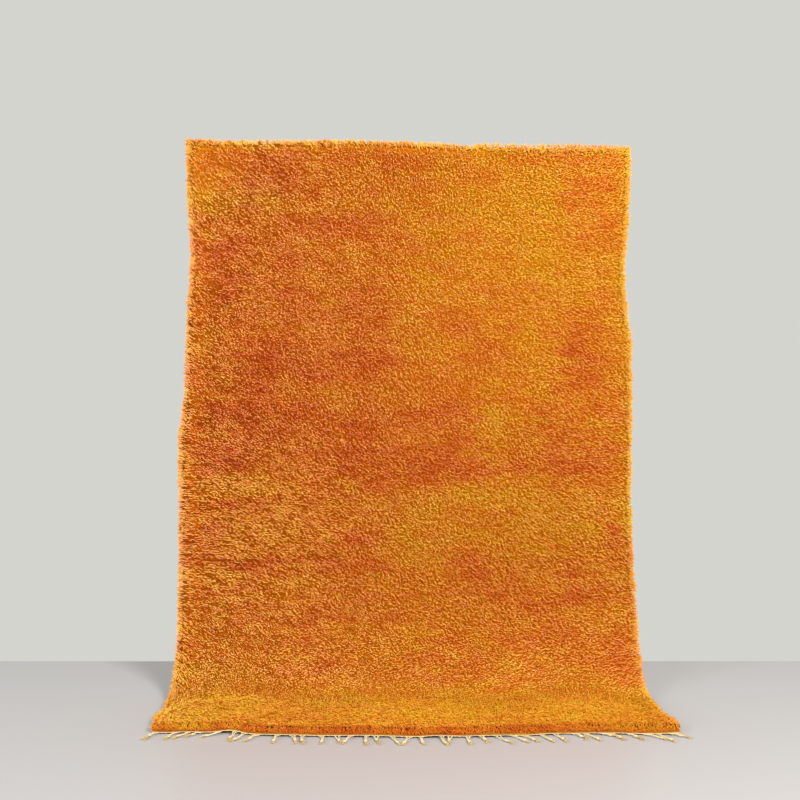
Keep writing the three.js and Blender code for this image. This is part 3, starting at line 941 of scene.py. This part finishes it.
def tuft_colours(rng, across, down, tip_above_floor):
    """Each tuft's place in the dye's ramp, and how much painted shade or painted highlight its points carry.
    """
    count = len(across)
    tone = as_share(dye_tone(across, down)) + rng.normal(0, 0.07, count)
    even_side = smoothstep(across, -0.8, 0.3)
    # bright scales the painted shade and highlight: higher at the left than at the right, where the pile lies
    # evenly, and lower where the pile parts
    bright = 1.03 - 0.19 * even_side + rng.normal(0, 0.08, count) - layered(across, down, PARTING_SHADE)
    calm = calm_place(across, down)
    # which tufts are painted dark as shade or given a painted highlight: in streaks along locks, and where
    # the rows show, dark ones in a knot's second line
    in_lock = 0.2 + 0.26 * smoothstep(pile_lie(across, down)[1], 0.6, 0.8)
    even = even_shares(rng, 0.6 * row_share(across, down))
    fleck = ranked(even * (1 - in_lock) + ranked(locks(across, down)) * in_lock)
    # some tufts are painted dark as the shade in gaps, fewer and lighter at the right and where the pile is
    # calm; some get a painted highlight
    in_shade = fleck < IN_SHADE_SHARE - 0.14 * even_side
    in_shade_tip = rng.uniform(*IN_SHADE_TIP, count) + 0.2 * calm + 0.12 * even_side
    bright = np.where(in_shade, in_shade_tip, bright + 0.2 * (fleck > 1 - KEEN_SHARE))
    bright *= 1 - 0.18 * calm

    # less painted shade at the rims; on the front face, painted shade, though never below FACE_LEAST_SHADE
    left, right, top, front = edge_distances(across, down)
    face = front < FACE_DEPTH
    gold = follow(FRONT_DYE_AND_SHADE, "across", "gold", across) * smoothstep(tip_above_floor, 0.006, 0.02)
    tone += np.where(face, 0.45 * gold, 0)
    rim = 1 - smoothstep(np.minimum.reduce([left, right, top]), 0.002, 0.012)
    rim = np.maximum(rim, 0.7 * (1 - smoothstep(front, 0.004, 0.03)))
    bright = np.maximum(bright, 0.7 * rim) * np.where(face, FACE_SHADE, 1)
    tips = TIP_SHADE + RIM_SHADE * rim[:, None]
    tips += CALM_SHADE * (calm * (1 - rim))[:, None]
    tips *= np.clip(bright, 0.05, 1.15)[:, None]
    return tone, np.where(face[:, None], np.maximum(tips, FACE_LEAST_SHADE), tips)


def pile(wool):
    """The tufts, in a few pieces one below the other."""
    rng = np.random.default_rng(7)
    across, down = tuft_places(rng)
    points, normals = tuft_shape(rng, across, down)
    tone, tips = tuft_colours(rng, across, down, points[:, -1, 2] - FLOOR)
    order = np.argsort(down, kind="stable")
    none = np.zeros((0, 4), int)
    made = []
    for number, part in enumerate(np.array_split(order, PILE_PIECES), 1):
        values = {"tone": np.repeat(tone[part], TUFT_POINTS), "tip": tips[part]}
        faces, places = tuft_faces(len(part)), tuft_map(len(part))
        shape, shading = points[part].reshape(-1, 3), normals[part].reshape(-1, 3)
        piece = mesh_object(f"pile_{number}", shape, none, faces, values, places, shading)
        piece.data.materials.append(wool)
        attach(piece, "root")
        made.append(piece)
    return made


# The fringe


def tubes(paths, radii, sides, fray=0.0):
    """Closed tubes along paths of points, all with as many points; radii holds one number for each point."""
    count, rings = paths.shape[:2]
    along = unit(np.gradient(paths, axis=1))
    u = unit(np.cross(along, (0.31, 0.17, 1.0)))
    v = np.cross(along, u)
    angle = np.arange(sides) * 2 * math.pi / sides
    offset = u[:, :, None] * np.cos(angle)[:, None] + v[:, :, None] * np.sin(angle)[:, None]
    points = paths[:, :, None] + offset * radii[:, :, None, None]
    start = paths[:, 0] - along[:, 0] * radii[:, :1] / 2
    end = paths[:, -1] + along[:, -1] * radii[:, -1:] / 2
    points = np.concatenate([points.reshape(count, -1, 3), np.stack([start, end], 1)], 1)
    first = np.arange(count)[:, None, None] * (rings * sides + 2)
    around = np.arange(sides)
    after = (around + 1) % sides
    low = (np.arange(rings - 1) * sides)[:, None]
    high = low + sides
    quads = np.stack([low + around, low + after, high + after, high + around], -1).reshape(-1, 4)
    last = (rings - 1) * sides
    caps = np.concatenate([
        np.stack([after, around, 0 * around + rings * sides], -1),
        np.stack([last + around, last + after, 0 * around + rings * sides + 1], -1),
    ])
    quads, caps = (first + quads).reshape(-1, 4), (first + caps).reshape(-1, 3)
    return points.reshape(-1, 3), quads, caps, np.full(points.shape[:2], fray).ravel()


def joined(parts):
    """One set of points, quads, triangles and fray values from many."""
    first = np.cumsum([0] + [len(part[0]) for part in parts])
    points = np.concatenate([part[0] for part in parts])
    quads = np.concatenate([part[1] + start for part, start in zip(parts, first)])
    triangles = np.concatenate([part[2] + start for part, start in zip(parts, first)])
    return points, quads, triangles, np.concatenate([part[3] for part in parts])


def scatter(index):
    """A number from 0 to 1 for an index, as in the solid's source."""
    value = math.sin(index * 12.9898 + 4.1414) * 43758.5453
    return value - math.floor(value)


def bunch_line(index):
    """A bunch's middle line on the floor, across and forward, up to its knot, and the way its knot points."""
    left, right = side_reach(cloth_end(0), "left"), side_reach(cloth_end(0), "right")
    share = (index + 0.5 + 0.5 * (scatter(index + 300) - 0.5)) / BUNCHES
    across = -left + (left + right) * share
    turn = follow(FRINGE_LIE, "across", "turn", across) + TURN_SPREAD * 2 * (scatter(index + 400) - 0.5)
    curl = CURL * 2 * (scatter(index + 500) - 0.5)
    length = CORD_LENGTH * (0.8 + 0.35 * scatter(index + 600))
    line = [np.array([across, front_reach(across) + CORD_GAP])]
    for step in range(CORD_STEPS):
        angle = math.radians(turn + curl * (step / (CORD_STEPS - 1) - 0.5))
        line.append(line[-1] + np.array([math.sin(angle), math.cos(angle)]) * length / CORD_STEPS)
    return np.array(line), math.radians(turn + curl / 2)


def soft_line(line, count):
    """A line of few points, rounded at its bends."""
    last = len(line) - 1
    t, fine = np.linspace(0, last, count), np.linspace(0, last, 41)
    kernel = np.maximum(0, 1 - np.abs(t[:, None] - fine) / 0.6)
    dense = np.stack([np.interp(fine, np.arange(len(line)), column) for column in line.T], -1)
    soft = kernel @ dense / kernel.sum(1, keepdims=True)
    soft[0], soft[-1] = line[0], line[-1]
    return soft


def cords_and_plies(rng, middle, along, start_height):
    """The middle lines of a bunch's two cords, and of the two plies that twist round each."""
    share = np.linspace(0, 1, len(middle))
    arch = rng.uniform(0, CORD_ARCH) * np.sin(math.pi * share)
    settled = 1 - smoothstep(share, 0, 0.5)
    height = CORD_HEIGHT + (start_height - CORD_HEIGHT) * settled + arch + 0.0015 * share
    aside = np.stack([along[:, 1], -along[:, 0]], -1)
    across_cord = np.stack([aside[:, 0], -aside[:, 1], 0 * share], -1)
    cords, plies = [], []
    for side in (-1, 1):
        spread, meeting = rng.uniform(*CORD_SPREAD), rng.uniform(0.5, 0.9)
        apart = side * (CORD_APART + spread * (1 - smoothstep(share, 0, meeting)))
        place = middle + aside * apart[:, None]
        cord = np.stack([place[:, 0], -place[:, 1], FLOOR + height], -1)
        cords.append(cord)
        turn = share * 2 * math.pi * CORD_TWISTS + rng.uniform(0, 6)
        for half in (0, math.pi):
            sideways = across_cord * np.cos(turn + half)[:, None]
            plies.append(cord + (sideways + UP * np.sin(turn + half)[:, None]) * PLY_OFFSET)
    return cords, np.array(plies)


def knot(rng, start, ahead, beside):
    """A bunch's knot: the cord that wraps it, and its core."""
    size = rng.uniform(*KNOT_SIZES)
    wrap = np.linspace(0, 1, KNOT_RINGS)
    turn = wrap * 2 * math.pi * KNOT_WRAPS + rng.uniform(0, 6)
    radius = KNOT_RADIUS * size * (1 + 0.15 * np.sin(wrap * math.pi))
    around = beside * np.cos(turn)[:, None] * 1.15 + UP * np.sin(turn)[:, None] * 0.85
    line = start + ahead * (0.002 + 0.0085 * size * wrap)[:, None]
    line = line + around * radius[:, None]
    core = start + ahead * np.linspace(-0.003, 0.015, len(KNOT_CORE))[:, None]
    return [
        tubes(line[None], np.full((1, KNOT_RINGS), KNOT_CORD * size), 6, 0.3),
        tubes(core[None], np.array([KNOT_CORE]), 6),
    ]


def frayed_tail(rng, start, ahead, beside, longest):
    """The loose yarns past a knot, which wave and settle on the floor."""
    count = TAIL_STRANDS
    t = np.linspace(0, 1, TAIL_RINGS)
    angle = rng.uniform(-0.7, 0.7, count)
    length = longest * rng.uniform(0.5, 1.0, count)
    bend = rng.normal(0, 0.5, count)
    wave, waves = rng.uniform(0.2, 0.9, count), rng.uniform(4, 9, count)
    wave = wave[:, None] * np.sin(t * waves[:, None] + angle[:, None])
    turned = angle[:, None] * (0.35 + 0.65 * t) + bend[:, None] * t**2 + wave
    step = ahead * np.cos(turned)[..., None] + beside * np.sin(turned)[..., None]
    step = step * (length / (TAIL_RINGS - 1))[:, None, None]
    root = start + ahead * KNOT_LENGTH * 0.8 + beside * (rng.uniform(-1, 1, count) * 0.0026)[:, None]
    run = np.concatenate([np.zeros((count, 1, 3)), np.cumsum(step[:, 1:], axis=1)], 1)
    strands = root[:, None] + run
    strands[..., 2] = FLOOR + 0.0015 + (0.003 + rng.uniform(0, 0.002, count))[:, None] * (1 - t) ** 1.5
    strands[..., 2] += rng.uniform(0, 0.004, count)[:, None] * np.sin(math.pi * t) ** 2
    return tubes(strands, np.tile(np.linspace(*TAIL_RADII, TAIL_RINGS), (count, 1)), 3, 1.0)


def gathered_warps(rng, across, cords, last):
    """The warps that come out of the cloth's edge and meet in a bunch's two cords."""
    gather = min(rng.integers(5, 9), last)
    share = np.linspace(0, 1, WARP_RINGS)[:, None]
    bow = np.array([0, -1, 0]) * 0.0015
    lines = []
    for number in range(WARPS):
        place = across + (number - (WARPS - 1) / 2) * WARP_PITCH + rng.uniform(-0.003, 0.003)
        root = np.array([place, 0.002 - front_reach(place), FLOOR + 0.0022 + front_lift(place)])
        meet = cords[number // 2][gather]
        lines.append(root * (1 - share) + meet * share + bow * np.sin(math.pi * share))
    return tubes(np.array(lines), np.full((WARPS, WARP_RINGS), WARP_RADIUS), 4)


def bunch(rng, index):
    """One bunch: warps that gather into two twisted cords, their knot, and the frayed end."""
    line, way = bunch_line(index)
    middle = soft_line(line, CORD_RINGS)
    along = unit(np.gradient(middle, axis=0))
    cords, plies = cords_and_plies(rng, middle, along, 0.0025 + front_lift(line[0, 0]))
    tied = rng.choice([0.5, 0.75, 1.0], p=[0.25, 0.3, 0.45])
    last = int(round(tied * (CORD_RINGS - 1)))
    if tied < 1:
        way = math.atan2(along[last, 0], along[last, 1])
    ahead = np.array([math.sin(way), -math.cos(way), 0])
    beside = np.array([math.cos(way), math.sin(way), 0])
    start = np.array([middle[last, 0], -middle[last, 1], FLOOR + KNOT_HEIGHT])
    untied = np.linalg.norm(np.diff(middle[last:], axis=0), axis=1).sum()
    parts = [tubes(plies[:, : last + 1], np.full((4, last + 1), PLY_RADIUS), 5)]
    parts += knot(rng, start, ahead, beside)
    parts.append(frayed_tail(rng, start, ahead, beside, TAIL_LENGTH + untied))
    parts.append(gathered_warps(rng, line[0, 0], cords, last))
    return joined(parts)


def fringe():
    """The undyed warp ends in front of the cloth: an edge cord and the knotted bunches."""
    rng = np.random.default_rng(23)
    left, right = (side_reach(cloth_end(0), side) - 0.004 for side in ("left", "right"))
    across = np.linspace(-left, right, EDGE_CORD_RINGS)
    turn = across / EDGE_CORD_PITCH * 2 * math.pi
    forward = front_reach(across) + EDGE_CORD_WAVE + EDGE_CORD_WAVE * np.cos(turn)
    height = FLOOR + 0.003 + front_lift(across) + EDGE_CORD_WAVE * np.sin(turn)
    edge = np.stack([across, -forward, height], -1)
    parts = [tubes(edge[None], np.full((1, EDGE_CORD_RINGS), EDGE_CORD_RADIUS), 4)]
    parts += [bunch(rng, index) for index in range(BUNCHES)]
    points, quads, triangles, frays = joined(parts)
    made = mesh_object("fringe_bunches", points, quads, triangles, {"fray": frays})
    made.data.materials.append(yarn_material())
    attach(made, "root")
    return made


# The stage


def floor():
    z = FLOOR - FLOOR_GAP
    corners = [(-1, -FLOOR_FRONT), (1, -FLOOR_FRONT), (1, FLOOR_BACK), (-1, FLOOR_BACK)]
    points = np.array([(side * FLOOR_HALF, y, z) for side, y in corners])
    made = mesh_object("floor", points, np.array([[0, 1, 2, 3]]))
    paint, _, shader = material("floor_paint", 0.42)
    shader.inputs["Base Color"].default_value = FLOOR_COLOUR
    shader.inputs["Specular IOR Level"].default_value = 0.5
    made.data.materials.append(paint)


def light(name, place, watts, size, colour):
    """A square lamp that points at the rug."""
    lamp = bpy.data.lights.new(name, "AREA")
    lamp.energy = watts
    lamp.size = size
    lamp.color = colour
    made = bpy.data.objects.new(name, lamp)
    made.location = place
    way = np.array(LIT_PLACE) - np.array(place)
    made.rotation_euler = (math.acos(-way[2] / np.linalg.norm(way)), 0, math.atan2(-way[0], way[1]))
    bpy.context.scene.collection.objects.link(made)


def studio():
    world = bpy.data.worlds.new("studio")
    bpy.context.scene.world = world
    world.use_nodes = True
    background = world.node_tree.nodes["Background"]
    background.inputs["Color"].default_value = WALL_COLOUR
    background.inputs["Strength"].default_value = 1.0
    for name, values in LIGHTS.items():
        light(name, *values)
    bpy.context.scene.view_settings.view_transform = "Standard"
    bpy.context.scene.view_settings.look = "None"


def camera():
    lens = bpy.data.cameras.new("camera")
    lens.lens = CAMERA_LENS
    lens.sensor_width = 36
    lens.clip_end = 100
    made = bpy.data.objects.new("camera", lens)
    made.location = (CAMERA_X, -CAMERA_BACK, FLOOR + CAMERA_HEIGHT)
    made.rotation_euler = (math.pi / 2, 0, 0)
    bpy.context.scene.collection.objects.link(made)
    bpy.context.scene.camera = made


camera()
studio()
floor()
wool = wool_material()
ground = woven_ground()
bed = pile_bed(wool)
tufts = pile(wool)
yarns = fringe()
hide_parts("rug")
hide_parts("fringe")
